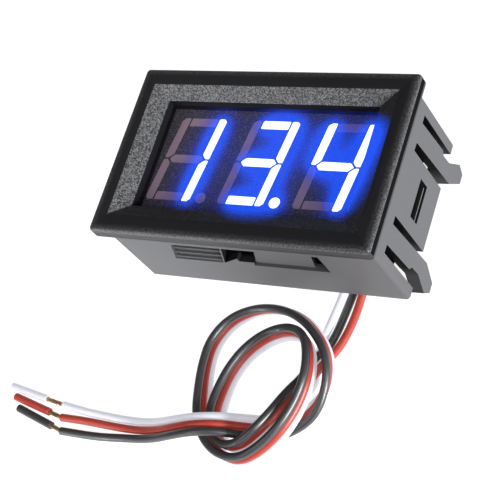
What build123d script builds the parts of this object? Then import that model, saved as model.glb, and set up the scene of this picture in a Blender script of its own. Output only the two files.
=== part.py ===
from build123d import *
import os
from math import atan, cos, degrees, pi, radians, sin, tan

# Snap-in digital panel meter, lying on its four snap arms with the display facing up.
# X runs along the row of digits, Y towards the top of the digits, Z out of the display.
# The origin is the middle of the footprint, on the surface that the meter lies on. All sizes in mm.

# Bezel and body
bezel_width = 48.0
bezel_height = 29.0
bezel_thickness = 2.2
bezel_corner = 0.7
bezel_edge = 0.6
body_width = 45.8
body_height = 26.4
body_corner = 0.6
total_depth = 22.0
arm_overhang = 4.1
long_wall = 1.3
short_wall = 1.4
front_wall = 2.6

# Sloped frame round the display window
frame_width = 42.8
frame_height = 23.2
frame_depth = 1.15
window_width = 36.7
window_height = 18.6

# Snap arms, two in each short wall
slot_width = 1.3
slot_start = 6.5
arm_width = 3.3
block_width = 10.7
arm_thickness = 1.5
arm_root = 0.6
arm_lean = 3.0
notch_depth = 0.6
notch_top_rise = 7.7
notch_step = 0.7
notch_end_rise = 4.8
head_reach = 0.95
head_widest_rise = 1.6
head_tip_width = 1.4
head_slope_rise = 3.2
head_thickness = 2.2
head_rounding = 0.3
foot_trim = 0.2

# Board latch slot in the middle of each short wall
latch_width = 6.2
latch_height = 2.5
board_depth = 13.4

# Band of ribs, openings and bridge in each long wall; its edges lean, and their X is at mid-height
band_start = 5.8
band_end = 10.7
band_lean = 1.8
ribs_left = -13.3
ribs_recess = 0.3
ribs_border = 0.3
groove_levels = (6.6, 8.15, 9.7)
groove_width = 1.2
groove_depth = 0.4
opening_left = -4.3
opening_right = 1.0
sill_height = 1.0
prong_x = -2.15
prong_rise = 0.9
bridge_right = 10.9
bridge_lean = 1.2
bridge_recess = 0.6
band_right = 13.0

# Display
lens_thickness = 0.5
lens_lap = 0.9
display_width = 38.2
display_height = 19.0
display_foot = 0.3
display_foot_side = 1.6
display_foot_inset = 1.6
digit_pitch = 12.95
digit_height = 14.4
digit_width = 8.1
digit_slant = 8.0
digit_rise = 0.2
end_cut = 0.45
stroke = 1.4
stroke_gap = 0.14
segment_depth = 2.0
point_radius = 0.9
point_offset = 4.9
point_rise = 0.7
pin_pitch = 2.54
pins_per_row = 6
pin_row_gap = 15.24
pin_width = 0.5
pin_thickness = 0.3
pin_tail = 1.4

# Circuit board
board_thickness = 1.0
board_clearance = 0.3
board_corner = 1.0
tab_clearance = 0.2
tab_recess = 0.4
pin_hole_radius = 0.42
joint_foot_radius = 0.75
joint_top_radius = 0.45
joint_height = 0.8
facet_count = 8

# Chips on the back of the board
controller_length = 9.9
controller_width = 3.9
controller_height = 1.5
controller_span = 6.0
controller_pins = 8
controller_pin_pitch = 1.27
controller_place = (-1.0, 0.0)
lead_width = 0.4
lead_thickness = 0.22
lead_foot = 0.6
lead_shoulder = 0.3
moulding_edge = 0.2
chip_standoff = 0.15
regulator_place = (-13.6, 6.4)
regulator_length = 4.5
regulator_width = 2.5
regulator_height = 1.5
regulator_pitch = 1.5
regulator_tab = 1.6
diode_place = (-13.6, 2.0)
diode_length = 4.3
diode_width = 2.6
diode_height = 2.0
terminal_lap = 0.8
terminal_width = 1.4
terminal_rise = 1.1

# Resistors and capacitors on the back of the board: x, y, and degrees of turn
chip_length = 2.0
chip_width = 1.25
resistor_height = 0.5
capacitor_height = 1.1
cap_length = 0.4
resistor_places = [
    (-8.6, 4.4, 90),
    (-8.6, 0.6, 90),
    (6.6, 4.4, 90),
    (6.6, 0.6, 90),
    (8.6, 4.4, 90),
    (8.6, 0.6, 90),
    (-2.6, 5.2, 0),
    (1.2, 5.2, 0),
]
capacitor_places = [
    (-13.6, -1.8, 0),
    (-17.8, 5.6, 90),
    (8.6, -3.4, 90),
    (6.6, -3.4, 90),
]

# Calibration trimmer
trimmer_place = (14.6, 5.2)
trimmer_side = 4.2
trimmer_height = 2.3
trimmer_foot = 0.6
trimmer_foot_spread = 2.5
rotor_radius = 1.4
rotor_height = 1.4
rotor_proud = 0.15
rotor_clearance = 0.08
rotor_slot_width = 0.5
rotor_slot_depth = 0.5

# Wires
wire_diameter = 1.3
core_radius = 0.3
ribbon_pitch = 1.4
strand_radius = 0.12
strand_circle = 0.26
strand_count = 6
strand_sides = 6
strand_gap = 0.2
strand_insert = 1.0
sleeve_length = 8.0
sleeve_bore_radius = 0.45

# Route of the bottom wire of the ribbon: x, y, z, and the tilt in degrees of the ribbon,
# which is 0 where it lies flat and 90 where it stands on edge
wire_rest = wire_diameter / 2
wire_drop = 1.2
ribbon_route = [
    (10.1, -27.1, wire_rest, 114),
    (8.7, -30.4, 2.1, 108),
    (7.0, -33.8, 2.7, 98),
    (5.0, -36.8, 3.0, 90),
    (2.5, -38.8, 2.1, 88),
    (-0.6, -38.9, 1.0, 80),
    (-3.0, -37.0, wire_rest, 74),
    (-4.1, -33.9, wire_rest, 72),
    (-4.2, -30.6, wire_rest, 80),
    (-3.8, -27.0, wire_rest, 88),
    (-2.2, -23.6, wire_rest, 88),
    (0.6, -20.9, wire_rest, 84),
    (4.3, -19.9, 1.4, 82),
    (7.9, -21.0, 2.8, 84),
    (10.3, -24.0, 4.2, 87),
    (11.2, -27.8, 4.2, 88),
    (10.4, -31.7, 3.2, 90),
    (8.8, -35.7, 2.7, 92),
    (6.1, -39.0, 1.9, 93),
    (2.6, -40.9, 1.0, 88),
    (-1.2, -40.2, wire_rest, 80),
    (-4.1, -37.9, wire_rest, 72),
    (-6.2, -34.6, wire_rest, 70),
    (-7.5, -31.2, wire_rest, 80),
    (-8.6, -27.2, wire_rest, 88),
    (-8.9, -22.8, wire_rest, 93),
    (-6.9, -18.6, wire_rest, 100),
    (-2.9, -16.1, wire_rest, 106),
    (1.9, -15.8, 1.1, 107),
    (6.4, -17.4, 2.0, 103),
    (10.0, -20.1, 2.9, 96),
    (12.6, -23.5, 2.8, 86),
    (12.8, -27.2, 1.7, 70),
    (10.8, -30.3, 0.9, 30),
    (7.6, -32.3, wire_rest, 5),
    (4.3, -33.4, wire_rest, 0),
    (1.2, -34.2, 2.2, 5),
    (-1.9, -35.2, 4.7, 15),
    (-5.7, -36.0, 5.2, 16),
    (-9.6, -36.6, 4.2, 10),
    (-13.4, -36.9, 2.4, 4),
    (-17.2, -37.0, 1.1, 0),
]

# Each wire's own way from the board to the ribbon, and from the ribbon to its stripped end
wire_start = total_depth - board_depth - wire_drop
wire_colours = ["white", "red", "black"]
wire_leads = {
    "white": [
        (11.2, -5.0, wire_start),
        (11.2, -5.0, 0.66 * wire_start),
        (11.2, -7.6, 0.39 * wire_start),
        (11.1, -11.2, 2.2),
        (10.5, -14.8, 1.8),
        (9.4, -18.2, 0.9),
        (8.9, -21.2, wire_rest),
        (9.4, -24.0, wire_rest),
    ],
    "red": [
        (15.2, -5.0, wire_start),
        (15.2, -5.0, 0.62 * wire_start),
        (14.6, -7.6, 0.32 * wire_start),
        (13.6, -11.2, 1.3),
        (13.3, -14.8, 0.8),
        (12.8, -18.2, 0.75),
        (12.0, -21.2, 0.9),
        (11.0, -23.8, 1.9),
    ],
    "black": [
        (13.2, -5.0, wire_start),
        (13.2, -5.0, 0.6 * wire_start),
        (12.7, -7.6, 0.27 * wire_start),
        (11.9, -11.2, 0.8),
        (11.4, -14.8, wire_rest),
        (11.0, -18.2, wire_rest),
        (10.5, -21.0, 1.0),
        (9.3, -23.6, 2.4),
    ],
}
wire_tails = {
    "white": [
        (-21.0, -37.0, wire_rest),
        (-25.0, -36.9, wire_rest),
        (-29.4, -36.7, wire_rest),
        (-33.6, -36.2, wire_rest),
    ],
    "red": [
        (-21.0, -38.4, wire_rest),
        (-25.0, -38.3, wire_rest),
        (-29.2, -38.2, wire_rest),
        (-33.2, -38.3, wire_rest),
    ],
    "black": [
        (-20.8, -40.0, wire_rest),
        (-24.6, -40.4, wire_rest),
        (-28.6, -40.5, wire_rest),
        (-32.4, -40.5, wire_rest),
    ],
}

# Stripped ends: the way that each points, in degrees, and the length of bare strands
stripped_ends = {"white": (171.2, 3.6), "red": (168.0, 2.7), "black": (165.3, 2.2)}

# Levels worked out from the sizes above
front_z = total_depth
bezel_back_z = front_z - bezel_thickness
lens_front_z = front_z - front_wall
lens_back_z = lens_front_z - lens_thickness
walls_end_z = arm_overhang
slot_top_z = front_z - slot_start
board_back_z = front_z - board_depth
latch_top_z = board_back_z + latch_height
board_front_z = board_back_z + board_thickness
display_back_z = board_front_z + display_foot
cavity_width = body_width - 2 * short_wall
cavity_height = body_height - 2 * long_wall
band_top_z = front_z - band_start
band_bottom_z = front_z - band_end
band_z = (band_top_z + band_bottom_z) / 2
band_height = band_top_z - band_bottom_z

# Snap arms: one outline, mirrored to the four corners, with the feet cut level
arm_inner = block_width / 2 + slot_width
arm_outer = arm_inner + arm_width
arm_plane = Plane(
    origin=(body_width / 2, 0, slot_top_z),
    x_dir=(0, 1, 0),
    z_dir=(cos(radians(arm_lean)), 0, sin(radians(arm_lean))),
)
tips_level = slot_start - total_depth
notch_top = tips_level + notch_top_rise
head_top = notch_top - notch_step
cut_level = tips_level - foot_trim
head_points = [
    (arm_outer - notch_depth, head_top),
    (arm_outer - notch_depth, tips_level + notch_end_rise),
    (arm_outer + head_reach, tips_level + head_widest_rise),
    (arm_outer, cut_level),
    (arm_outer - head_tip_width, cut_level),
    (arm_inner, tips_level + head_slope_rise),
]
strap_points = [
    (arm_inner, arm_root),
    (arm_outer, arm_root),
    (arm_outer, notch_top),
]

with BuildPart() as snap_arms:
    with BuildSketch(arm_plane) as arm_outline:
        with BuildLine():
            Polyline(*strap_points, *head_points, close=True)
        make_face()
        fillet(arm_outline.vertices().sort_by(Axis.X)[-1], head_rounding)
    extrude(amount=-arm_thickness)
    with BuildSketch(arm_plane) as head_outline:
        with BuildLine():
            Polyline(*head_points, (arm_inner, head_top), close=True)
        make_face()
        fillet(head_outline.vertices().sort_by(Axis.X)[-1], head_rounding)
    extrude(amount=-head_thickness)
    split(bisect_by=Plane.XY, keep=Keep.TOP)
    mirror(about=Plane.XZ)
    mirror(about=Plane.YZ)

# Housing: bezel, body walls, sloped frame, arms, latch slots and openings in one moulding
arm_opening = arm_width + 2 * slot_width
arm_middle = arm_inner + arm_width / 2


def leaning(middle, level, lean=band_lean):
    """X of a leaning edge of the band at a level."""
    return middle + lean * (level - band_z) / band_height


def band_field(left, right, top, bottom, right_lean=band_lean):
    """Corners of a field of the band between two leaning edges."""
    return [
        (leaning(left, top), top),
        (leaning(right, top, right_lean), top),
        (leaning(right, bottom, right_lean), bottom),
        (leaning(left, bottom), bottom),
    ]


sill_z = band_bottom_z + sill_height
ribs_right = opening_left - ribs_border
opening_outline = [
    (leaning(opening_left, band_top_z), band_top_z),
    (leaning(opening_right, band_top_z), band_top_z),
    (leaning(opening_right, sill_z), sill_z),
    (prong_x, sill_z),
    (prong_x, sill_z + prong_rise),
    (leaning(opening_left, band_bottom_z), band_bottom_z),
]
end_opening_outline = [
    (leaning(bridge_right, band_top_z, bridge_lean), band_top_z),
    (band_right, band_top_z),
    (band_right, band_bottom_z),
    (leaning(bridge_right, band_bottom_z, bridge_lean), band_bottom_z),
]
bridge_outline = band_field(opening_right, bridge_right, band_top_z, band_bottom_z, bridge_lean)
ribs_outline = band_field(ribs_left, ribs_right, band_top_z, band_bottom_z)
groove_outlines = [
    band_field(ribs_left, ribs_right, front_z - depth + groove_width / 2, front_z - depth - groove_width / 2)
    for depth in groove_levels
]

with BuildPart() as housing:
    with BuildSketch(Plane.XY.offset(bezel_back_z)):
        RectangleRounded(bezel_width, bezel_height, bezel_corner)
    extrude(amount=bezel_thickness)
    fillet(housing.faces().sort_by(Axis.Z)[-1].edges(), bezel_edge)
    with BuildSketch(Plane.XY.offset(walls_end_z)):
        RectangleRounded(body_width, body_height, body_corner)
    extrude(amount=bezel_back_z - walls_end_z)
    with BuildSketch(Plane.XY.offset(walls_end_z)):
        Rectangle(cavity_width, cavity_height)
    extrude(amount=lens_front_z - walls_end_z, mode=Mode.SUBTRACT)
    with BuildSketch(Plane.XY.offset(lens_front_z)):
        Rectangle(window_width, window_height)
    extrude(amount=front_wall, mode=Mode.SUBTRACT)
    with BuildSketch(Plane.XY.offset(front_z)):
        Rectangle(frame_width, frame_height)
    with BuildSketch(Plane.XY.offset(front_z - frame_depth)):
        Rectangle(window_width, window_height)
    loft(mode=Mode.SUBTRACT)
    with BuildSketch(Plane.XY.offset(walls_end_z)):
        with GridLocations(body_width - short_wall, 2 * arm_middle, 2, 2):
            Rectangle(2 * short_wall, arm_opening)
    extrude(amount=slot_top_z - walls_end_z, mode=Mode.SUBTRACT)
    add(snap_arms.part)
    with BuildSketch(Plane.YZ):
        with Locations((0, board_back_z + latch_height / 2)):
            Rectangle(latch_width, latch_height)
    extrude(amount=body_width, both=True, mode=Mode.SUBTRACT)
    with BuildSketch(Plane.XZ):
        for outline in (opening_outline, end_opening_outline):
            with BuildLine():
                Polyline(*outline, close=True)
            make_face()
    extrude(amount=body_height, both=True, mode=Mode.SUBTRACT)
    for side in (1, -1):
        with BuildSketch(Plane.XZ.offset(side * body_height / 2)):
            with BuildLine():
                Polyline(*ribs_outline, close=True)
            make_face()
        extrude(amount=-side * ribs_recess, mode=Mode.SUBTRACT)
        with BuildSketch(Plane.XZ.offset(side * body_height / 2)):
            with BuildLine():
                Polyline(*bridge_outline, close=True)
            make_face()
        extrude(amount=-side * bridge_recess, mode=Mode.SUBTRACT)
        with BuildSketch(Plane.XZ.offset(side * (body_height / 2 - ribs_recess))):
            for outline in groove_outlines:
                with BuildLine():
                    Polyline(*outline, close=True)
                make_face()
        extrude(amount=-side * groove_depth, mode=Mode.SUBTRACT)

# Smoked window, glued behind the front wall
with BuildPart() as display_window:
    with BuildSketch(Plane.XY.offset(lens_back_z)):
        Rectangle(window_width + 2 * lens_lap, window_height + 2 * lens_lap)
    extrude(amount=lens_thickness)

# Display: seven slanted segments and a point for each digit, set into the body's face
half_width = digit_width / 2
half_height = digit_height / 2
dash_end = half_width - stroke - 2 * stroke_gap
middle_end = half_width - stroke / 2 - 2 * stroke_gap
digit_middles = [-digit_pitch, 0, digit_pitch]
post_outline = [
    (half_width - stroke, half_height),
    (half_width - end_cut, half_height),
    (half_width, half_height - end_cut),
    (half_width, stroke_gap),
    (half_width - stroke / 2, stroke_gap),
    (half_width - stroke, stroke_gap + stroke / 2),
]
dash_outline = [
    (-dash_end, half_height - stroke),
    (-dash_end, half_height),
    (dash_end, half_height),
    (dash_end, half_height - stroke),
]
middle_outline = [
    (-middle_end, 0),
    (stroke / 2 - middle_end, stroke / 2),
    (middle_end - stroke / 2, stroke / 2),
    (middle_end, 0),
    (middle_end - stroke / 2, -stroke / 2),
    (stroke / 2 - middle_end, -stroke / 2),
]
# Each segment is one of three outlines, flipped across or up and down
segment_forms = {
    "A": (dash_outline, 1, 1),
    "B": (post_outline, 1, 1),
    "C": (post_outline, 1, -1),
    "D": (dash_outline, 1, -1),
    "E": (post_outline, -1, -1),
    "F": (post_outline, -1, 1),
    "G": (middle_outline, 1, 1),
}


def segment_faces(letters, digit_middle):
    """Faces of the named segments of one digit, slanted, on the display's front."""
    with BuildSketch(Plane.XY.offset(lens_back_z)) as faces_of_digit:
        for letter in letters:
            outline, across, up = segment_forms[letter]
            flat = [(across * x, up * y) for x, y in outline]
            slanted = [
                (digit_middle + x + y * tan(radians(digit_slant)), y + digit_rise) for x, y in flat
            ]
            with BuildLine():
                Polyline(*slanted, close=True)
            make_face()
    return faces_of_digit.sketch


def point_faces(digits):
    """Round faces of the decimal points that follow the digits."""
    with BuildSketch(Plane.XY.offset(lens_back_z)) as points:
        for digit_middle in digits:
            with Locations((digit_middle + point_offset, digit_rise + point_rise - half_height)):
                Circle(point_radius)
    return points.sketch


digit_names = ["tens", "units", "tenths"]
lit_letters = ["BC", "ABCDG", "BCFG"]
lit_points = digit_middles[1:2]
dark_points = [digit_middles[0], digit_middles[2]]

window_faces = [segment_faces("ABCDEFG", middle) for middle in digit_middles]
window_faces.append(point_faces(digit_middles))

with BuildPart() as display_body:
    with BuildSketch(Plane.XY.offset(display_back_z)):
        Rectangle(display_width, display_height)
    extrude(amount=lens_back_z - display_back_z)
    for window_face in window_faces:
        extrude(window_face, amount=-segment_depth, mode=Mode.SUBTRACT)
    with BuildSketch(Plane.XY.offset(board_front_z)):
        foot_spread_x = display_width - 2 * display_foot_inset
        foot_spread_y = display_height - 2 * display_foot_inset
        with GridLocations(foot_spread_x, foot_spread_y, 2, 2):
            Rectangle(display_foot_side, display_foot_side)
    extrude(amount=display_foot)

segment_groups = {}
for digit_name, middle, lit in zip(digit_names, digit_middles, lit_letters):
    dark = [letter for letter in "ABCDEFG" if letter not in lit]
    segment_groups[digit_name + "_lit_segments"] = segment_faces(lit, middle)
    segment_groups[digit_name + "_dark_segments"] = segment_faces(dark, middle)
segment_groups["lit_decimal_point"] = point_faces(lit_points)
segment_groups["dark_decimal_points"] = point_faces(dark_points)

segment_parts = {}
for group_name, group_faces in segment_groups.items():
    with BuildPart() as segments:
        extrude(group_faces, amount=-segment_depth)
    segment_parts[group_name] = segments

pin_end_z = board_back_z - pin_tail

with BuildPart() as display_pins:
    with BuildSketch(Plane.XY.offset(pin_end_z)):
        with GridLocations(pin_pitch, pin_row_gap, pins_per_row, 2):
            Rectangle(pin_width, pin_thickness)
    extrude(amount=display_back_z - pin_end_z)

# Circuit board, held by the tabs at its ends in the latch slots
board_width = cavity_width - 2 * board_clearance
board_height = cavity_height - 2 * board_clearance
wire_holes = [wire_leads[colour][0][:2] for colour in wire_colours]

with BuildPart() as circuit_board:
    with BuildSketch(Plane.XY.offset(board_back_z)):
        RectangleRounded(board_width, board_height, board_corner)
        Rectangle(body_width - 2 * tab_recess, latch_width - 2 * tab_clearance)
        with GridLocations(pin_pitch, pin_row_gap, pins_per_row, 2):
            RegularPolygon(pin_hole_radius, facet_count, mode=Mode.SUBTRACT)
        with Locations(*wire_holes):
            RegularPolygon(pin_hole_radius, facet_count, mode=Mode.SUBTRACT)
    extrude(amount=board_thickness)

# Solder joints on the back of the board
joint_plane = Plane.XY.offset(board_back_z - joint_height)
joint_taper = -degrees(atan((joint_foot_radius - joint_top_radius) / joint_height))

with BuildPart() as pin_solder_joints:
    with BuildSketch(joint_plane):
        with GridLocations(pin_pitch, pin_row_gap, pins_per_row, 2):
            RegularPolygon(joint_top_radius, facet_count)
    extrude(amount=joint_height, taper=joint_taper)
    with BuildSketch(joint_plane):
        with GridLocations(pin_pitch, pin_row_gap, pins_per_row, 2):
            Rectangle(pin_width, pin_thickness)
    extrude(amount=joint_height, mode=Mode.SUBTRACT)

with BuildPart() as wire_solder_joints:
    with BuildSketch(joint_plane):
        with Locations(*wire_holes):
            RegularPolygon(joint_top_radius, facet_count)
    extrude(amount=joint_height, taper=joint_taper)
    with BuildSketch(joint_plane):
        with Locations(*wire_holes):
            Circle(core_radius)
    extrude(amount=joint_height, mode=Mode.SUBTRACT)


# Chips on the back of the board: local X and Y on the board, depths measured away from it
def back_plane(place, depth):
    """Plane at a depth below the board's back, over a place on the board."""
    return Plane(origin=(*place, board_back_z - depth))


def moulded_body(place, length, width, start, height):
    """Moulded chip body with eased edges on its free face."""
    with BuildPart() as body:
        with BuildSketch(back_plane(place, start)):
            Rectangle(length, width)
        extrude(amount=start - height)
        chamfer(body.faces().sort_by(Axis.Z)[0].edges(), moulding_edge)
    return body


controller_top = chip_standoff + controller_height
controller_body = moulded_body(
    controller_place, controller_length, controller_width, chip_standoff, controller_top
)

lead_side = controller_width / 2
lead_knee = lead_side + lead_shoulder
lead_toe = controller_span / 2
lead_heel = lead_toe - lead_foot
lead_middle = chip_standoff + controller_height / 2
lead_outline = [
    (lead_side, lead_thickness / 2 - lead_middle),
    (lead_knee, lead_thickness / 2 - lead_middle),
    (lead_heel, 0),
    (lead_toe, 0),
    (lead_toe, -lead_thickness),
    (lead_heel + lead_thickness, -lead_thickness),
    (lead_knee + lead_thickness, -lead_thickness / 2 - lead_middle),
    (lead_side, -lead_thickness / 2 - lead_middle),
]
lead_row = [(i - (controller_pins - 1) / 2) * controller_pin_pitch for i in range(controller_pins)]
lead_planes = [
    Plane(
        origin=(controller_place[0] + along, controller_place[1], board_back_z),
        x_dir=(0, 1, 0),
        z_dir=(1, 0, 0),
    )
    for along in lead_row
]

with BuildPart() as controller_leads:
    with BuildSketch(*lead_planes):
        for side in (1, -1):
            with BuildLine():
                Polyline(*[(side * across, level) for across, level in lead_outline], close=True)
            make_face()
    extrude(amount=lead_width / 2, both=True)

regulator_body = moulded_body(
    regulator_place, regulator_length, regulator_width, 0, regulator_height
)

with BuildPart() as regulator_leads:
    with BuildSketch(back_plane(regulator_place, 0)):
        lead_offset = (regulator_width + lead_foot) / 2
        with Locations((0, -lead_offset)):
            with GridLocations(regulator_pitch, 0, 3, 1):
                Rectangle(lead_width, lead_foot)
        with Locations((0, lead_offset)):
            Rectangle(regulator_tab, lead_foot)
    extrude(amount=-lead_thickness)

diode_body = moulded_body(diode_place, diode_length, diode_width, lead_thickness, diode_height)
diode_end = diode_length / 2
terminal_outline = [
    (diode_end - terminal_lap, 0),
    (diode_end + lead_thickness, 0),
    (diode_end + lead_thickness, -terminal_rise),
    (diode_end, -terminal_rise),
    (diode_end, -lead_thickness),
    (diode_end - terminal_lap, -lead_thickness),
]

with BuildPart() as diode_terminals:
    with BuildSketch(Plane(origin=(*diode_place, board_back_z), x_dir=(1, 0, 0), z_dir=(0, -1, 0))):
        for side in (1, -1):
            with BuildLine():
                Polyline(*[(side * along, level) for along, level in terminal_outline], close=True)
            make_face()
    extrude(amount=terminal_width / 2, both=True)


def chip_bodies(places, height):
    """Bodies of small two-ended chips that stand on the board."""
    with BuildPart() as bodies:
        for x, y, turn in places:
            with BuildSketch(back_plane((x, y), 0)):
                with Locations(Location((0, 0), turn)):
                    Rectangle(chip_length - 2 * cap_length, chip_width)
            extrude(amount=-height)
    return bodies


def chip_caps(places, height):
    """Metal caps at both ends of small two-ended chips."""
    with BuildPart() as caps:
        for x, y, turn in places:
            with BuildSketch(back_plane((x, y), 0)):
                with Locations(Location((0, 0), turn)):
                    with GridLocations(chip_length - cap_length, 0, 2, 1):
                        Rectangle(cap_length, chip_width)
            extrude(amount=-height)
    return caps


resistor_bodies = chip_bodies(resistor_places, resistor_height)
resistor_caps = chip_caps(resistor_places, resistor_height)
capacitor_bodies = chip_bodies(capacitor_places, capacitor_height)
capacitor_caps = chip_caps(capacitor_places, capacitor_height)

# Calibration trimmer: a slotted rotor that turns in a square base
rotor_depth = rotor_height - rotor_proud + rotor_clearance

with BuildPart() as trimmer_base:
    with BuildSketch(back_plane(trimmer_place, 0)):
        Rectangle(trimmer_side, trimmer_side)
    extrude(amount=-trimmer_height)
    chamfer(trimmer_base.edges().filter_by(Axis.Z), moulding_edge)
    with BuildSketch(back_plane(trimmer_place, trimmer_height)):
        Circle(rotor_radius + rotor_clearance)
    extrude(amount=rotor_depth, mode=Mode.SUBTRACT)

with BuildPart() as trimmer_terminals:
    with BuildSketch(back_plane(trimmer_place, 0)):
        foot_offset = (trimmer_side + trimmer_foot) / 2
        with Locations((0, -foot_offset)):
            with GridLocations(trimmer_foot_spread, 0, 2, 1):
                Rectangle(2 * lead_width, trimmer_foot)
        with Locations((0, foot_offset)):
            Rectangle(2 * lead_width, trimmer_foot)
    extrude(amount=-lead_thickness)

with BuildPart() as trimmer_rotor:
    with BuildSketch(back_plane(trimmer_place, trimmer_height + rotor_proud)):
        Circle(rotor_radius)
    extrude(amount=rotor_height)
    with BuildSketch(back_plane(trimmer_place, trimmer_height + rotor_proud)):
        Rectangle(2 * rotor_radius, rotor_slot_width)
        Rectangle(rotor_slot_width, 2 * rotor_radius)
    extrude(amount=rotor_slot_depth, mode=Mode.SUBTRACT)


# Wires: each runs from the board along its place in the ribbon to its stripped end
def ribbon_points(place_in_ribbon):
    """Points of one wire of the ribbon, counted from the bottom wire."""
    points = []
    last = len(ribbon_route) - 1
    for i, (x, y, z, tilt) in enumerate(ribbon_route):
        before = Vector(ribbon_route[max(i - 1, 0)][:2])
        after = Vector(ribbon_route[min(i + 1, last)][:2])
        forward = (after - before).normalized()
        sideways = place_in_ribbon * ribbon_pitch * cos(radians(tilt))
        upward = place_in_ribbon * ribbon_pitch * sin(radians(tilt))
        points.append((x - sideways * forward.Y, y + sideways * forward.X, z + upward))
    return points


def bend_radii(points):
    """Radius of the arc at each inner point, as large as the runs beside it allow."""
    radii = []
    for before, here, after in zip(points, points[1:], points[2:]):
        run_in = Vector(*here) - Vector(*before)
        run_out = Vector(*after) - Vector(*here)
        turn = radians(run_in.get_angle(run_out))
        radii.append(0.45 * min(run_in.length, run_out.length) / tan(turn / 2))
    return radii


def along_strip(colour, distance):
    """Plane across the stripped end of a wire, at a distance from its insulation."""
    degrees, _ = stripped_ends[colour]
    onward = Vector(cos(radians(degrees)), sin(radians(degrees)), 0)
    return Plane(origin=Vector(*wire_tails[colour][-1]) + onward * distance, z_dir=onward)


wire_parts = {}
for place_in_ribbon, colour in enumerate(wire_colours):
    wire_points = wire_leads[colour] + ribbon_points(place_in_ribbon) + wire_tails[colour]
    wire_radii = bend_radii(wire_points)
    _, strip_length = stripped_ends[colour]
    hole_x, hole_y, _ = wire_leads[colour][0]

    with BuildPart() as wire:
        with BuildLine() as wire_route:
            FilletPolyline(*wire_points, radius=wire_radii)
        with BuildSketch(Plane(origin=wire_route.line @ 0, z_dir=wire_route.line % 0)):
            Circle(wire_diameter / 2)
        sweep()
    wire_length = wire_route.wire().length

    with BuildPart() as core:
        with BuildSketch(Plane(origin=(hole_x, hole_y, wire_start))):
            Circle(core_radius)
        extrude(amount=board_front_z + core_radius - wire_start)
        with BuildSketch(along_strip(colour, strand_gap)):
            with PolarLocations(strand_circle, strand_count):
                RegularPolygon(strand_radius, strand_sides)
        extrude(amount=strip_length + strand_insert - strand_gap)

    with BuildPart() as sleeve:
        with BuildSketch(along_strip(colour, strip_length)):
            Circle(wire_diameter / 2)
            Circle(sleeve_bore_radius, mode=Mode.SUBTRACT)
        extrude(amount=sleeve_length)

    wire_parts[colour + "_wire"] = wire
    wire_parts[colour + "_core"] = core
    wire_parts[colour + "_sleeve"] = sleeve
    section = pi * (wire_diameter / 2) ** 2
    volume_share = wire.part.volume / (section * wire_length)
    print(colour, "length", round(wire_length, 1), "volume share", round(volume_share, 4))
    print(colour, "radii", [round(radius, 1) for radius in wire_radii])

# Labels and files
pieces = {
    "housing": housing,
    "display_window": display_window,
    "display_body": display_body,
    "display_pins": display_pins,
    "pin_solder_joints": pin_solder_joints,
    "circuit_board": circuit_board,
    "controller_body": controller_body,
    "controller_leads": controller_leads,
    "regulator_body": regulator_body,
    "regulator_leads": regulator_leads,
    "diode_body": diode_body,
    "diode_terminals": diode_terminals,
    "resistor_bodies": resistor_bodies,
    "resistor_caps": resistor_caps,
    "capacitor_bodies": capacitor_bodies,
    "capacitor_caps": capacitor_caps,
    "trimmer_base": trimmer_base,
    "trimmer_terminals": trimmer_terminals,
    "trimmer_rotor": trimmer_rotor,
    "wire_solder_joints": wire_solder_joints,
    **segment_parts,
    **wire_parts,
}
os.makedirs("parts", exist_ok=True)
for label, piece in pieces.items():
    piece.part.label = label
    export_step(piece.part, "parts/" + label + ".step")
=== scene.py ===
import math

import bmesh
import bpy
import numpy as np
from mathutils import Matrix, Vector


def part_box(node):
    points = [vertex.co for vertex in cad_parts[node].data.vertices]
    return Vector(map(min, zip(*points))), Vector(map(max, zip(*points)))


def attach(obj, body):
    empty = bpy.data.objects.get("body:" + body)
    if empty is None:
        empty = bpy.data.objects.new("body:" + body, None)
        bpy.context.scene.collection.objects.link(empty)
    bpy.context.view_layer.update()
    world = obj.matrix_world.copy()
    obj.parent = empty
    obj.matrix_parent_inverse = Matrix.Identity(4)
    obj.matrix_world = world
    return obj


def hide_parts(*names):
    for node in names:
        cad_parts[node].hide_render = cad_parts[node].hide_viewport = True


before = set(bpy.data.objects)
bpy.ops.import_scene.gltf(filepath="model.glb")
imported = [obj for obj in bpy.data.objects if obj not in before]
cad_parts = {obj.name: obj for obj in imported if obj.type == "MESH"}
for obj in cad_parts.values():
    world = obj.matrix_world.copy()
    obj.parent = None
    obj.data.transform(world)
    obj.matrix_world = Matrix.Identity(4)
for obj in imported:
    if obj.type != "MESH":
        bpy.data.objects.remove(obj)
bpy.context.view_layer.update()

# Looks of a snap-in digital panel meter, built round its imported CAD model. Lengths are in metres, except
# in the routes of the wires, which are in millimetres as in the CAD model.
MM = 0.001
BODY = "meter"


# Camera: the place and the turn that the photograph was taken from
camera_data = bpy.data.cameras.new("camera")
camera_data.lens = 108.8
camera_data.sensor_width = 36.0
camera_data.clip_start = 0.01
camera = bpy.data.objects.new("camera", camera_data)
bpy.context.collection.objects.link(camera)
camera_place = Vector((0.11668, -0.09100, 0.18940))
camera_right = Vector((0.85212, 0.29170, -0.43452))
camera_back = Vector((0.51798, -0.35150, 0.77983))
camera_up = camera_back.cross(camera_right)
camera_turn = Matrix((camera_right, camera_up, camera_back)).transposed().to_4x4()
camera.matrix_world = Matrix.Translation(camera_place) @ camera_turn
bpy.context.scene.camera = camera


# Wires: the routes of the CAD tubes, in millimetres
WIRE_DIAMETER = 1.3
WIRE_REST = WIRE_DIAMETER / 2
WIRE_START = 7.4
RIBBON_PITCH = 1.4
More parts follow.
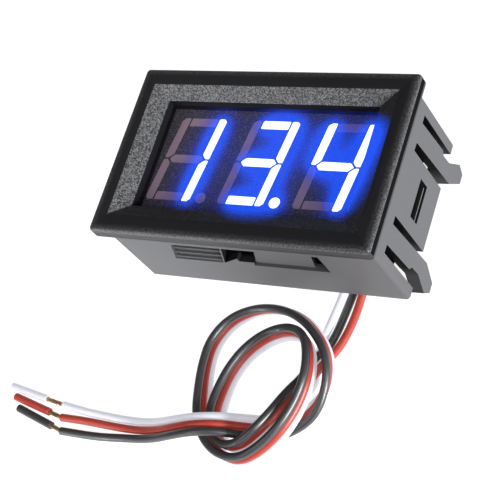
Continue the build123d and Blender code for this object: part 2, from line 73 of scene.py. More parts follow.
# x, y, z of the ribbon's bottom wire, and the tilt of the ribbon in degrees
RIBBON_ROUTE = [
    (10.1, -27.1, WIRE_REST, 114), (8.7, -30.4, 2.1, 108), (7.0, -33.8, 2.7, 98),
    (5.0, -36.8, 3.0, 90), (2.5, -38.8, 2.1, 88), (-0.6, -38.9, 1.0, 80),
    (-3.0, -37.0, WIRE_REST, 74), (-4.1, -33.9, WIRE_REST, 72), (-4.2, -30.6, WIRE_REST, 80),
    (-3.8, -27.0, WIRE_REST, 88), (-2.2, -23.6, WIRE_REST, 88), (0.6, -20.9, WIRE_REST, 84),
    (4.3, -19.9, 1.4, 82), (7.9, -21.0, 2.8, 84), (10.3, -24.0, 4.2, 87),
    (11.2, -27.8, 4.2, 88), (10.4, -31.7, 3.2, 90), (8.8, -35.7, 2.7, 92),
    (6.1, -39.0, 1.9, 93), (2.6, -40.9, 1.0, 88), (-1.2, -40.2, WIRE_REST, 80),
    (-4.1, -37.9, WIRE_REST, 72), (-6.2, -34.6, WIRE_REST, 70), (-7.5, -31.2, WIRE_REST, 80),
    (-8.6, -27.2, WIRE_REST, 88), (-8.9, -22.8, WIRE_REST, 93), (-6.9, -18.6, WIRE_REST, 100),
    (-2.9, -16.1, WIRE_REST, 106), (1.9, -15.8, 1.1, 107), (6.4, -17.4, 2.0, 103),
    (10.0, -20.1, 2.9, 96), (12.6, -23.5, 2.8, 86), (12.8, -27.2, 1.7, 70),
    (10.8, -30.3, 0.9, 30), (7.6, -32.3, WIRE_REST, 5), (4.3, -33.4, WIRE_REST, 0),
    (1.2, -34.2, 2.2, 5), (-1.9, -35.2, 4.7, 15), (-5.7, -36.0, 5.2, 16),
    (-9.6, -36.6, 4.2, 10), (-13.4, -36.9, 2.4, 4), (-17.2, -37.0, 1.1, 0),
]
WIRE_COLOURS = ["white", "red", "black"]
WIRE_LEADS = {
    "white": [
        (11.2, -5.0, WIRE_START), (11.2, -5.0, 0.66 * WIRE_START), (11.2, -7.6, 0.39 * WIRE_START),
        (11.1, -11.2, 2.2), (10.5, -14.8, 1.8), (9.4, -18.2, 0.9),
        (8.9, -21.2, WIRE_REST), (9.4, -24.0, WIRE_REST),
    ],
    "red": [
        (15.2, -5.0, WIRE_START), (15.2, -5.0, 0.62 * WIRE_START), (14.6, -7.6, 0.32 * WIRE_START),
        (13.6, -11.2, 1.3), (13.3, -14.8, 0.8), (12.8, -18.2, 0.75),
        (12.0, -21.2, 0.9), (11.0, -23.8, 1.9),
    ],
    "black": [
        (13.2, -5.0, WIRE_START), (13.2, -5.0, 0.6 * WIRE_START), (12.7, -7.6, 0.27 * WIRE_START),
        (11.9, -11.2, 0.8), (11.4, -14.8, WIRE_REST), (11.0, -18.2, WIRE_REST),
        (10.5, -21.0, 1.0), (9.3, -23.6, 2.4),
    ],
}
WIRE_TAILS = {
    "white": [
        (-21.0, -37.0, WIRE_REST), (-25.0, -36.9, WIRE_REST),
        (-29.4, -36.7, WIRE_REST), (-33.6, -36.2, WIRE_REST),
    ],
    "red": [
        (-21.0, -38.4, WIRE_REST), (-25.0, -38.3, WIRE_REST),
        (-29.2, -38.2, WIRE_REST), (-33.2, -38.3, WIRE_REST),
    ],
    "black": [
        (-20.8, -40.0, WIRE_REST), (-24.6, -40.4, WIRE_REST),
        (-28.6, -40.5, WIRE_REST), (-32.4, -40.5, WIRE_REST),
    ],
}


def ribbon_points(place_in_ribbon):
    """Points of one wire of the ribbon, counted from the bottom wire."""
    points = []
    last = len(RIBBON_ROUTE) - 1
    for i, (x, y, z, tilt) in enumerate(RIBBON_ROUTE):
        before = Vector(RIBBON_ROUTE[max(i - 1, 0)][:2])
        after = Vector(RIBBON_ROUTE[min(i + 1, last)][:2])
        forward = (after - before).normalized()
        sideways = place_in_ribbon * RIBBON_PITCH * math.cos(math.radians(tilt))
        upward = place_in_ribbon * RIBBON_PITCH * math.sin(math.radians(tilt))
        points.append((x - sideways * forward.y, y + sideways * forward.x, z + upward))
    return points


def wire_curve(colour, place_in_ribbon):
    """One insulated wire, a smooth tube along its route."""
    points = WIRE_LEADS[colour] + ribbon_points(place_in_ribbon) + WIRE_TAILS[colour]
    data = bpy.data.curves.new(colour + "_insulation", "CURVE")
    data.dimensions = "3D"
    data.bevel_depth = WIRE_DIAMETER / 2 * MM
    data.bevel_resolution = 5
    data.resolution_u = 8
    data.use_fill_caps = True
    spline = data.splines.new("NURBS")
    spline.points.add(len(points) - 1)
    for control, point in zip(spline.points, points):
        control.co = (*[c * MM for c in point], 1.0)
    spline.order_u = 3
    spline.use_endpoint_u = True
    wire = bpy.data.objects.new(colour + "_insulation", data)
    bpy.context.collection.objects.link(wire)
    return wire


# Sizes and levels of the CAD nodes; a half size is a pair, along X and along Y
BEZEL_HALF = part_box("housing")[1][:2]
FACE_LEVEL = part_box("housing")[1][2]
BEZEL_LEVEL = FACE_LEVEL - 2.2 * MM
FRAME_HALF = (21.4 * MM, 11.6 * MM)
FRAME_DEPTH = 1.15 * MM
WALL_HALF = (22.9 * MM, 13.2 * MM)
WALLS_END = 4.1 * MM
DIGIT_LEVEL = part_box("tens_lit_segments")[1][2]
BOARD_BACK = 8.6 * MM
PINS_PER_ROW = 6
PIN_PITCH = 2.54 * MM
PIN_ROW_GAP = 15.24 * MM
DIGITS = ("tens", "units", "tenths")
SEGMENT_NODES = [(digit + "_lit_segments", digit + "_dark_segments") for digit in DIGITS]
SEGMENT_NODES.append(("lit_decimal_point", "dark_decimal_points"))

# Share of a face's normal along an axis: square to it, nearly so, halfway, or merely turned to it
SQUARE = 0.9
NEARLY_SQUARE = 0.8
HALFWAY = 0.5
TURNED = 0.1


# Nodes of shaders and geometry trees
def fill_socket(tree, socket, value):
    """Gives a socket a link or a plain value."""
    if isinstance(value, bpy.types.NodeSocket):
        tree.links.new(value, socket)
    else:
        socket.default_value = value


def add_node(tree, kind, **settings):
    """A node with its settings; one that isn't the node's own goes to the socket of that name."""
    node = tree.nodes.new(kind)
    for name, value in settings.items():
        if hasattr(node, name):
            setattr(node, name, value)
        else:
            fill_socket(tree, node.inputs[name.replace("_", " ")], value)
    return node


def math_node(tree, operation, first, second=0.0):
    """Arithmetic on one or two values, each a number or a socket."""
    node = add_node(tree, "ShaderNodeMath", operation=operation)
    for socket, value in zip(node.inputs, (first, second)):
        fill_socket(tree, socket, value)
    return node.outputs["Value"]


def remap(tree, value, low, high, to_low=0.0, to_high=1.0):
    """A value stretched from one range to another and clamped."""
    node = add_node(tree, "ShaderNodeMapRange", clamp=True, Value=value)
    for name, number in zip(("From Min", "From Max", "To Min", "To Max"), (low, high, to_low, to_high)):
        node.inputs[name].default_value = number
    return node.outputs["Result"]


def object_place(tree):
    """The place on the object."""
    return add_node(tree, "ShaderNodeTexCoord").outputs["Object"]


def object_noise(tree, scale, detail):
    """Noise that is fixed to the object."""
    place = object_place(tree)
    noise = add_node(tree, "ShaderNodeTexNoise", Vector=place, Scale=scale, Detail=detail, Roughness=0.6)
    return noise.outputs["Fac"]


# Shader groups: effects that several finishes share
def new_group(name, inputs, outputs):
    """An empty shader group with number inputs and outputs, and the sockets at its two ends."""
    group = bpy.data.node_groups.new(name, "ShaderNodeTree")
    for socket, value in inputs:
        made = group.interface.new_socket(socket, in_out="INPUT", socket_type="NodeSocketFloat")
        made.default_value = value
    for socket in outputs:
        group.interface.new_socket(socket, in_out="OUTPUT", socket_type="NodeSocketFloat")
    given = group.nodes.new("NodeGroupInput").outputs
    result = group.nodes.new("NodeGroupOutput").inputs
    return group, given, result


def make_moulded_grain():
    """Fine grain of a spark-eroded mould, with slow mottling over it."""
    inputs = [("Grain Scale", 5000.0), ("Mottle Scale", 160.0)]
    group, given, result = new_group("moulded_grain", inputs, ["Height", "Shade"])
    fine = object_noise(group, given["Grain Scale"], 2.0)
    broad = object_noise(group, given["Mottle Scale"], 3.0)
    half_fine = math_node(group, "MULTIPLY", fine, 0.5)
    half_broad = math_node(group, "MULTIPLY", broad, 0.5)
    shade = math_node(group, "ADD", half_fine, half_broad)
    group.links.new(fine, result["Height"])
    group.links.new(shade, result["Shade"])
    return group


def make_flecks():
    """Small bright flecks, each on a cell of its own, solid in the middle and fading to its edge."""
    solid, gone = 0.1, 0.55
    group, given, result = new_group("flecks", [("Cell Scale", 3000.0), ("Share", 0.3)], ["Flecks"])
    place = object_place(group)
    cells = add_node(group, "ShaderNodeTexVoronoi", Vector=place, Scale=given["Cell Scale"]).outputs
    chance = add_node(group, "ShaderNodeSeparateColor", Color=cells["Color"]).outputs["Red"]
    chosen = math_node(group, "LESS_THAN", chance, given["Share"])
    core = remap(group, cells["Distance"], solid, gone, 1.0, 0.0)
    group.links.new(math_node(group, "MULTIPLY", chosen, core), result["Flecks"])
    return group


def make_painted_rim_highlight():
    """Where the bezel's face nears its outer edge: the mask of a painted highlight, where the grain seems to
    catch the light.
    """
    inputs = [("Half Width", BEZEL_HALF[0]), ("Half Height", BEZEL_HALF[1]), ("Reach", 1.6 * MM)]
    group, given, result = new_group("painted_rim_highlight", inputs, ["Rim"])
    split = add_node(group, "ShaderNodeSeparateXYZ", Vector=object_place(group)).outputs
    from_middle = math_node(group, "ABSOLUTE", split["X"])
    across = math_node(group, "SUBTRACT", given["Half Width"], from_middle)
    from_middle = math_node(group, "ABSOLUTE", split["Y"])
    up = math_node(group, "SUBTRACT", given["Half Height"], from_middle)
    nearest = math_node(group, "MINIMUM", across, up)
    share = math_node(group, "DIVIDE", nearest, given["Reach"])
    group.links.new(remap(group, share, 0.0, 1.0, 1.0, 0.0), result["Rim"])
    return group


def make_height_fade():
    """Nought up to one level of the part and one from another, with an even change between them."""
    group, given, result = new_group("height_fade", [("Start", 0.0), ("End", 0.01)], ["Fade"])
    level = add_node(group, "ShaderNodeSeparateXYZ", Vector=object_place(group)).outputs["Z"]
    above = math_node(group, "SUBTRACT", level, given["Start"])
    span = math_node(group, "SUBTRACT", given["End"], given["Start"])
    share = math_node(group, "DIVIDE", above, span)
    group.links.new(remap(group, share, 0.0, 1.0), result["Fade"])
    return group


MOULDED_GRAIN = make_moulded_grain()
HEIGHT_FADE = make_height_fade()
FLECKS = make_flecks()
PAINTED_RIM_HIGHLIGHT = make_painted_rim_highlight()

# The usual spread of the grain's shade and of its height
SHADES = (0.3, 0.7)
HEIGHTS = (0.42, 0.60)
# A Mix node's colour sockets go by their place, as its number sockets have the same names
MIX_FIRST, MIX_SECOND, MIX_RESULT = 6, 7, 2
# The painted light round the lit segments, kept at each vertex of a mesh under this name
GLOW = "glow"
UNLIT = (0.0, 0.0, 0.0)


class Finish:
    """A material being made: its tree, its shader, and short ways to add to them."""

    def __init__(self, name, **sockets):
        self.material = bpy.data.materials.new(name)
        self.material.use_nodes = True
        self.tree = self.material.node_tree
        self.shader = self.tree.nodes["Principled BSDF"]
        for socket, value in sockets.items():
            self.shader.inputs[socket.replace("_", " ")].default_value = value

    def group(self, group, **values):
        """A shared group, with this finish's own values."""
        node = self.tree.nodes.new("ShaderNodeGroup")
        node.node_tree = group
        for name, value in values.items():
            node.inputs[name.replace("_", " ")].default_value = value
        return node.outputs

    def grain(self, grain_scale, mottle_scale):
        """Height and shade of the moulded grain."""
        return self.group(MOULDED_GRAIN, Grain_Scale=grain_scale, Mottle_Scale=mottle_scale)

    def flecks(self, cell_scale, share):
        """Flecks on a share of the cells."""
        return self.group(FLECKS, Cell_Scale=cell_scale, Share=share)["Flecks"]

    def fade(self, start, end):
        """Nought up to one level and one from another."""
        return self.group(HEIGHT_FADE, Start=start, End=end)["Fade"]

    def glow(self):
        """The painted light round the lit segments."""
        return add_node(self.tree, "ShaderNodeAttribute", attribute_name=GLOW).outputs["Fac"]

    def blend(self, factor, low, high):
        """Colours from low to high by a factor."""
        mix = add_node(self.tree, "ShaderNodeMix", data_type="RGBA", Factor=factor)
        for place, colour in ((MIX_FIRST, low), (MIX_SECOND, high)):
            plain = not isinstance(colour, bpy.types.NodeSocket)
            fill_socket(self.tree, mix.inputs[place], (*colour, 1.0) if plain else colour)
        return mix.outputs[MIX_RESULT]

    def feed(self, socket, value):
        """Links a value to one of the shader's sockets."""
        self.tree.links.new(value, self.shader.inputs[socket])

    def colour(self, factor, low, high):
        """The surface's colour, from low to high by a factor."""
        self.feed("Base Color", self.blend(factor, low, high))

    def gloss(self, grain, smooth, rough):
        """Roughness that follows the shade of the grain."""
        self.feed("Roughness", remap(self.tree, grain["Shade"], *SHADES, smooth, rough))

    def relief(self, grain, strength, depth=0.03 * MM):
        """Relief of the grain."""
        node = add_node(
            self.tree, "ShaderNodeBump", Strength=strength, Distance=depth, Height=grain["Height"]
        )
        self.feed("Normal", node.outputs["Normal"])


def satin_bezel():
    """Near-black satin face of the bezel, with a painted grey highlight on its grain towards its outer edge.
    """
    finish = Finish("satin_bezel")
    grain = finish.grain(3600.0, 120.0)
    rim = finish.group(PAINTED_RIM_HIGHLIGHT, Reach=1.3 * MM)["Rim"]
    patchy = remap(finish.tree, grain["Height"], *HEIGHTS, 0.25, 1.0)
    # Painted highlight: the rim of the face is coloured grey, patchy with the grain.
    rim_highlight = math_node(finish.tree, "MULTIPLY", rim, patchy)
    black = finish.blend(grain["Shade"], (0.007, 0.007, 0.009), (0.013, 0.013, 0.016))
    finish.colour(rim_highlight, black, (0.105, 0.107, 0.112))
    finish.gloss(grain, 0.38, 0.50)
    finish.relief(grain, 0.2)
    return finish.material


def matte_walls():
    """Dark grey matte walls and arms of the housing."""
    finish = Finish("matte_walls")
    grain = finish.grain(4200.0, 110.0)
    finish.colour(grain["Shade"], (0.075, 0.076, 0.082), (0.110, 0.112, 0.120))
    finish.gloss(grain, 0.55, 0.68)
    finish.relief(grain, 0.15)
    return finish.material


def bezel_sides():
    """Long sides of the bezel, far darker than the walls, with a painted shadow line along their lower edge.
    """
    finish = Finish("bezel_sides")
    grain = finish.grain(3000.0, 300.0)
    # Painted shadow: the lowest part of each side is coloured near-black.
    fade = finish.fade(BEZEL_LEVEL + 0.35 * MM, BEZEL_LEVEL + 0.7 * MM)
    streaks = remap(finish.tree, grain["Shade"], 0.36, 0.64)
    side = finish.blend(streaks, (0.010, 0.011, 0.012), (0.040, 0.041, 0.044))
    finish.colour(fade, (0.010, 0.010, 0.011), side)
    finish.gloss(grain, 0.45, 0.60)
    finish.relief(grain, 0.3, 0.05 * MM)
    return finish.material


def bezel_ends():
    """Short sides of the bezel: a painted shadow line under the rim, then the grey of the walls."""
    finish = Finish("bezel_ends", Roughness=0.75, Specular_IOR_Level=0.05)
    grain = finish.grain(2800.0, 260.0)
    # Painted shadow: the upper part of each end is coloured near-black, the lower part the grey of the
    # walls.
    fade = finish.fade(BEZEL_LEVEL + 0.3 * MM, BEZEL_LEVEL + 0.6 * MM)
    grey = finish.blend(grain["Shade"], (0.072, 0.073, 0.078), (0.110, 0.112, 0.119))
    finish.colour(fade, grey, (0.002, 0.002, 0.003))
    finish.relief(grain, 0.2)
    return finish.material


def slot_sides_painted_shade():
    """Sides of the slots beside the snap arms, with painted shade: dark at the closed end and greyer towards
    the open one.
    """
    finish = Finish("slot_sides_painted_shade", Roughness=0.7, Specular_IOR_Level=0.1)
    grain = finish.grain(3200.0, 200.0)
    # Painted shade: near-black deep in the slot, fading to grey towards its open end.
    fade = finish.fade(WALLS_END + 0.4 * MM, WALLS_END + 3.4 * MM)
    grey = finish.blend(grain["Shade"], (0.030, 0.031, 0.034), (0.055, 0.056, 0.060))
    finish.colour(fade, grey, (0.0015, 0.0015, 0.002))
    finish.relief(grain, 0.2)
    return finish.material


def shaded_inside():
    """Unlit inside of the housing and the cut faces of its openings."""
    finish = Finish("shaded_inside", Roughness=0.75, Specular_IOR_Level=0.1)
    grain = finish.grain(3000.0, 200.0)
    finish.colour(grain["Shade"], (0.004, 0.004, 0.006), (0.012, 0.012, 0.015))
    finish.relief(grain, 0.2)
    return finish.material


def rough_plastic(name, dark, light):
    """Rougher plastic of the ribbed fields and of the ledges under the bridges, coloured darker than the
    walls as painted shade.
    """
    finish = Finish(name, Roughness=0.7, Specular_IOR_Level=0.25)
    grain = finish.grain(2800.0, 260.0)
    finish.colour(grain["Shade"], dark, light)
    finish.relief(grain, 0.4, 0.06 * MM)
    return finish.material


def grained_frame(name, dark, light, fleck, painted_spill):
    """Coarse sparkling grain on the sloped frame round the window, with the blue light of the lit segments
    painted on it as emission; the last argument sets how strong that painted light is.
    """
    finish = Finish(name, Emission_Strength=painted_spill)
    grain = finish.grain(3400.0, 240.0)
    flecks = finish.flecks(4200.0, 0.45)
    glow = finish.glow()
    ground = finish.blend(remap(finish.tree, grain["Height"], *HEIGHTS), dark, light)
    finish.colour(flecks, ground, fleck)
    # Painted light: the blue glow of the lit segments, as emission on the frame.
    spill = finish.blend(remap(finish.tree, glow, 0.16, 0.9), UNLIT, (0.004, 0.078, 0.95))
    finish.feed("Emission Color", spill)
    finish.gloss(grain, 0.42, 0.58)
    finish.relief(grain, 0.35, 0.05 * MM)
    return finish.material


def smoked_window():
    """Smoked window with the haze of blue light round the lit segments painted on as emission, and less
    clear where that painted light is.
    """
    finish = Finish("smoked_window", Roughness=0.14, IOR=1.49, Emission_Strength=1.5)
    flecks = finish.flecks(5000.0, 0.5)
    glow = finish.glow()
    finish.colour(flecks, (0.020, 0.016, 0.025), (0.095, 0.080, 0.102))
    # Painted light: the haze is emission, and the window grows less clear where it is.
    fringe = finish.blend(remap(finish.tree, glow, 0.0, 0.45), UNLIT, (0.006, 0.035, 0.42))
    haze = finish.blend(remap(finish.tree, glow, 0.35, 0.85), fringe, (0.003, 0.076, 0.88))
    finish.feed("Emission Color", haze)
    finish.feed("Alpha", remap(finish.tree, glow, 0.0, 0.6, 0.24, 0.62))
    return finish.material


def window_underside():
    """The window's matt lower face, a short way over the display."""
    finish = Finish("window_underside", Roughness=0.9, Alpha=0.1, Specular_IOR_Level=0.0)
    grain = finish.grain(3000.0, 300.0)
    finish.colour(grain["Shade"], (0.010, 0.008, 0.012), (0.030, 0.024, 0.034))
    return finish.material


def display_moulding():
    """Dark speckled face and sides of the display."""
    finish = Finish("display_moulding", Roughness=0.8, Specular_IOR_Level=0.2)
    flecks = finish.flecks(5200.0, 0.55)
    grain = finish.grain(4800.0, 150.0)
    ground = finish.blend(grain["Shade"], (0.056, 0.050, 0.064), (0.120, 0.107, 0.136))
    finish.colour(flecks, ground, (0.32, 0.285, 0.345))
    return finish.material


def lit_resin():
    """Diffusing resin with the light on behind it."""
    finish = Finish("lit_resin", Roughness=0.5, Emission_Strength=4.6)
    grain = finish.grain(1500.0, 400.0)
    finish.colour(grain["Shade"], (0.75, 0.8, 0.9), (0.85, 0.9, 1.0))
    finish.feed("Emission Color", finish.blend(grain["Shade"], (0.72, 0.84, 1.0), (0.82, 0.92, 1.0)))
    return finish.material


def dark_resin():
    """The same resin with the light off."""
    finish = Finish("dark_resin", Roughness=0.6)
    grain = finish.grain(3600.0, 300.0)
    finish.colour(grain["Shade"], (0.54, 0.37, 0.47), (0.70, 0.50, 0.62))
    return finish.material


def board_mask():
    """Black solder mask over the board."""
    finish = Finish("board_mask", Roughness=0.35, Coat_Weight=0.3)
    grain = finish.grain(1800.0, 350.0)
    finish.colour(grain["Shade"], (0.006, 0.007, 0.007), (0.016, 0.018, 0.018))
    finish.relief(grain, 0.15)
    return finish.material


def board_edge():
    """Sawn edge of the laminate: dark, with a paler line along the bottom."""
    finish = Finish("board_edge", Roughness=0.8, Specular_IOR_Level=0.05)
    grain = finish.grain(3200.0, 500.0)
    fade = finish.fade(BOARD_BACK + 0.20 * MM, BOARD_BACK + 0.28 * MM)
    laminate = finish.blend(grain["Shade"], (0.13, 0.13, 0.13), (0.26, 0.26, 0.26))
    finish.colour(fade, laminate, (0.003, 0.003, 0.003))
    finish.relief(grain, 0.4, 0.05 * MM)
    return finish.material


def bright_metal(name, dull, bright, roughness):
    """Plated or soldered metal with small changes of tone and gloss."""
    finish = Finish(name, Metallic=1.0)
    grain = finish.grain(3000.0, 600.0)
    finish.colour(grain["Shade"], dull, bright)
    finish.gloss(grain, roughness, roughness + 0.16)
    finish.relief(grain, 0.15)
    return finish.material


def plain_moulding(name, dark, light, roughness):
    """Moulded plastic or ceramic with a slight grain."""
    finish = Finish(name)
    grain = finish.grain(3200.0, 180.0)
    finish.colour(grain["Shade"], dark, light)
    finish.gloss(grain, roughness - 0.05, roughness + 0.07)
    finish.relief(grain, 0.12)
    return finish.material


def soft_insulation(name, dark, light, painted_light, sheen=0.6):
    """Soft insulation with a broad sheen; the fourth argument is the strength of painted light, an emission
    in its own colour that lifts its shaded parts.
    """
    finish = Finish(name, Emission_Strength=painted_light, Specular_IOR_Level=sheen)
    grain = finish.grain(1400.0, 180.0)
    colour = finish.blend(grain["Shade"], dark, light)
    finish.feed("Base Color", colour)
    # Painted light: the insulation glows in its own colour.
    finish.feed("Emission Color", colour)
    finish.gloss(grain, 0.32, 0.42)
    finish.relief(grain, 0.12)
    return finish.material


SATIN_BEZEL = satin_bezel()
MATTE_WALLS = matte_walls()
BEZEL_SIDES = bezel_sides()
SHADED_INSIDE = shaded_inside()
SLOT_SIDES_PAINTED_SHADE = slot_sides_painted_shade()
# Painted shade: the grooves and ledges are coloured darker than the rib tops, and the rib tops darker than
# the walls.
RIB_TOPS = rough_plastic("rib_tops", (0.055, 0.056, 0.060), (0.105, 0.107, 0.114))
RIB_GROOVES_PAINTED_SHADE = rough_plastic("rib_grooves_painted_shade", (0.030, 0.031, 0.034), (0.080, 0.081, 0.087))
BEZEL_ENDS = bezel_ends()
FRAME_TOP_LEFT = grained_frame(
    "grained_frame", (0.034, 0.035, 0.038), (0.168, 0.171, 0.179), fleck=(0.36, 0.365, 0.38), painted_spill=0.2
)
# A darker copy for the bottom and right slopes: painted shade, with a stronger painted blue light from the
# segments.
FRAME_BOTTOM_RIGHT_PAINTED_SHADE = grained_frame(
    "grained_frame_painted_shade", (0.007, 0.007, 0.009), (0.028, 0.029, 0.033),
    fleck=(0.065, 0.067, 0.074), painted_spill=1.0,
)
SMOKED_WINDOW = smoked_window()
WINDOW_UNDERSIDE = window_underside()
DISPLAY_MOULDING = display_moulding()
LIT_RESIN = lit_resin()
DARK_RESIN = dark_resin()
BOARD_MASK = board_mask()
BOARD_EDGE = board_edge()
TIN = bright_metal("tin_plating", (0.50, 0.50, 0.49), (0.74, 0.74, 0.72), 0.28)
SOLDER = bright_metal("solder", (0.48, 0.49, 0.50), (0.70, 0.71, 0.72), 0.22)
COPPER = bright_metal("copper_strands", (0.50, 0.33, 0.17), (0.92, 0.72, 0.45), 0.25)
BRASS = bright_metal("rotor_brass", (0.52, 0.38, 0.16), (0.82, 0.66, 0.36), 0.3)
CHIP = plain_moulding("chip_moulding", (0.012, 0.012, 0.013), (0.03, 0.03, 0.032), 0.5)
CERAMIC = plain_moulding("tan_ceramic", (0.30, 0.19, 0.11), (0.42, 0.29, 0.18), 0.45)
TRIMMER_WHITE = plain_moulding("trimmer_white", (0.62, 0.62, 0.59), (0.76, 0.76, 0.73), 0.45)
# The white and red insulation carry painted light as emission; the black has none.
INSULATION = {
    "white": soft_insulation("white_insulation", (0.45, 0.46, 0.51), (0.51, 0.52, 0.57), painted_light=0.68),
    "red": soft_insulation("red_insulation", (0.31, 0.030, 0.020), (0.42, 0.050, 0.034), painted_light=0.22),
    "black": soft_insulation(
        "black_insulation", (0.024, 0.024, 0.028), (0.042, 0.043, 0.049), painted_light=0.0, sheen=1.0
    ),
}


# Carried-over CAD pieces: their finishes
def dress(material, *nodes):
    """Gives CAD nodes one finish."""
    for name in nodes:
        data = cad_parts[name].data
        data.materials.clear()
        data.materials.append(material)


dress(DISPLAY_MOULDING, "display_body")
dress(TIN, "display_pins", "controller_leads", "regulator_leads", "diode_terminals")
dress(TIN, "resistor_caps", "capacitor_caps", "trimmer_terminals")
dress(CHIP, "controller_body", "regulator_body", "diode_body", "resistor_bodies")
dress(CERAMIC, "capacitor_bodies")
dress(TRIMMER_WHITE, "trimmer_base")
dress(BRASS, "trimmer_rotor")


# Haze of light round the lit segments, worked out here and painted on as emission
SAMPLE_SIZE = 0.5 * MM
SAMPLE_ROUNDS = 4
SKIN = 0.1 * MM


def lit_samples():
    """Middles and areas of small triangles on the front faces of the lit segments."""
    middles, areas = [], []
    for lit_node, _ in SEGMENT_NODES:
        mesh = bmesh.new()
        mesh.from_mesh(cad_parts[lit_node].data)
        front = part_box(lit_node)[1][2] - SKIN
        buried = [f for f in mesh.faces if f.normal.z < SQUARE or f.calc_center_median().z < front]
        bmesh.ops.delete(mesh, geom=buried, context="FACES")
        for _ in range(SAMPLE_ROUNDS):
            bmesh.ops.triangulate(mesh, faces=mesh.faces)
            long_edges = [e for e in mesh.edges if e.calc_length() > SAMPLE_SIZE]
            bmesh.ops.subdivide_edges(mesh, edges=long_edges, cuts=1)
        bmesh.ops.triangulate(mesh, faces=mesh.faces)
        middles += [f.calc_center_median()[:2] for f in mesh.faces]
        areas += [f.calc_area() for f in mesh.faces]
        mesh.free()
    return np.array(middles), np.array(areas)


# Reach and weight of the tight halo and of the wide one, and the lean of both along X and Y, which follows
# the camera's line of sight
HALOS = ((1.2 * MM, 2.4), (2.5 * MM, 2.4))
HAZE_LEAN = (-0.664, 0.451)
PLACES_AT_ONCE = 2000
LIT_MIDDLES, LIT_AREAS = lit_samples()


def glow_at(places):
    """Painted light at each place, standing for light scattered round the lit segments; the haze leans a
    little more with the height over the digits, along the camera's line of sight.
    """
    heights = np.maximum(places[:, 2:3] - DIGIT_LEVEL, 0.0)
    below = places[:, :2] + heights * np.array([HAZE_LEAN])
    light = np.zeros(len(below))
    for reach, weight in HALOS:
        for start in range(0, len(below), PLACES_AT_ONCE):
            part = slice(start, start + PLACES_AT_ONCE)
            gaps = ((below[part, None, :] - LIT_MIDDLES[None, :, :]) ** 2).sum(axis=2)
            halo = np.exp(-gaps / (2 * reach ** 2)) * LIT_AREAS
            light[part] += weight * halo.sum(axis=1) / (2 * math.pi * reach ** 2)
    return np.clip(light, 0.0, 1.0)


def vertex_places(data):
    """Places of a mesh's vertices."""
    return np.array([v.co[:] for v in data.vertices])


def keep_glow(data, glow):
    """Keeps the light at each vertex on the mesh."""
    layer = data.attributes.new(GLOW, "FLOAT", "POINT")
    layer.data.foreach_set("value", glow.astype(np.float32))


# Pieces made again from CAD nodes, with eased edges
SAME_PLACE = 0.0001 * MM
FLAT_ANGLE = math.radians(0.5)
EDGE_ANGLE = math.radians(28)
FINE_CUTS = 24
SEGMENT_ROUNDING = 0.22 * MM
UPRIGHT_CLIMB = 1.0 * MM


def add_piece(name, data):
    """An object at the origin for a mesh that is already in place."""
    piece = bpy.data.objects.new(name, data)
    bpy.context.collection.objects.link(piece)
    return piece


def clean_shape(node):
    """A CAD node's shape, its triangles joined into whole faces."""
    mesh = bmesh.new()
    mesh.from_mesh(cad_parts[node].data)
    bmesh.ops.remove_doubles(mesh, verts=mesh.verts, dist=SAME_PLACE)
    bmesh.ops.dissolve_limit(mesh, angle_limit=FLAT_ANGLE, verts=mesh.verts, edges=mesh.edges)
    return mesh


def kept_mesh(mesh, name):
    """The plain mesh of a shape that is done."""
    data = bpy.data.meshes.new(name)
    mesh.to_mesh(data)
    mesh.free()
    return data


def eased_copy(node, name, finishes, finish_of, width, segments, fine_finishes=()):
    """A clean copy of a CAD node whose edges are eased; finish_of picks one of the finishes for a face.

    Faces with one of the fine finishes are cut small, so that the painted haze of light fades smoothly on
    them.
    """
    mesh = clean_shape(node)
    mesh.normal_update()
    for face in mesh.faces:
        face.material_index = finishes.index(finish_of(face))
        face.smooth = True
    if fine_finishes:
        fine = [finishes.index(finish) for finish in fine_finishes]
        fine_edges = [e for e in mesh.edges if any(f.material_index in fine for f in e.link_faces)]
        bmesh.ops.subdivide_edges(mesh, edges=fine_edges, cuts=FINE_CUTS, use_grid_fill=True)
    data = kept_mesh(mesh, name)
    if fine_finishes:
        keep_glow(data, glow_at(vertex_places(data)))
    for finish in finishes:
        data.materials.append(finish)
    data.set_sharp_from_angle(angle=EDGE_ANGLE)
    piece = add_piece(name, data)
    bevel = piece.modifiers.new("eased_edges", "BEVEL")
    bevel.width = width
    bevel.segments = segments
    bevel.limit_method = "ANGLE"
    bevel.angle_limit = EDGE_ANGLE
    bevel.harden_normals = True
    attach(piece, BODY)
    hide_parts(node)
    return piece


# Places where the housing changes its finish. The bezel's face comes a little way down its edge. The
# snap arms and their slots lie in the two short walls, and their slots end below the face. The outer
# corners are rounded. Each long wall has a field of ribs at the left and a bridge set in at the right.
HAIR = 0.05 * MM
BEZEL_CROWN = 0.7 * MM
ARM_OPENINGS = (5.2 * MM, 11.5 * MM)
ARM_ZONE = 5 * MM
SHORT_WALL_ZONE = 4 * MM
SLOT_ENDS_DEPTH = 8 * MM
CORNER_ZONE = 0.7 * MM
RIBS_END = -5 * MM
RIB_TOPS_DEPTH = 0.35 * MM
GROOVES_DEPTH = 0.75 * MM
BRIDGE = (0.0, 12 * MM)
LEDGE_DEPTH = 0.65 * MM
# Share of a face's normal along Z: the flat face has more than FLAT, the sloped frame more than SLOPED,
# and an upright wall less than UPRIGHT
FLAT = 0.98
SLOPED = 0.2
UPRIGHT = 0.3


